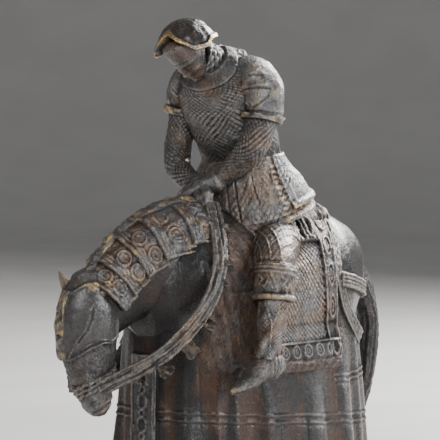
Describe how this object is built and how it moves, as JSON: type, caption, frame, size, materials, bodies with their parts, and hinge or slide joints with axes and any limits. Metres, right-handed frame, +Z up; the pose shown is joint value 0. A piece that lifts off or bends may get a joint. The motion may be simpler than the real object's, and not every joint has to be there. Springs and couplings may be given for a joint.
{
  "type": "equestrian statuette",
  "caption": "Bronze tabletop figure of a tired knight with bowed head, seated on a horse that hangs its head under plated neck armour and a long folded cloth, on a low cast plinth.",
  "frame": {"origin": "middle of the plinth's underside, on the table", "axes": "+Z up; the horse looks along -X and its left side faces -Y"},
  "size_m": [0.393, 0.188, 0.4496],
  "materials": {
    "bronze": "dark brown patinated bronze with rubbed golden edges",
    "plinth_bronze": "dark patinated bronze, satin"
  },
  "bodies": {
    "root": {"horse_and_rider": "bronze", "plinth": "plinth_bronze"}
  },
  "joints": []
}
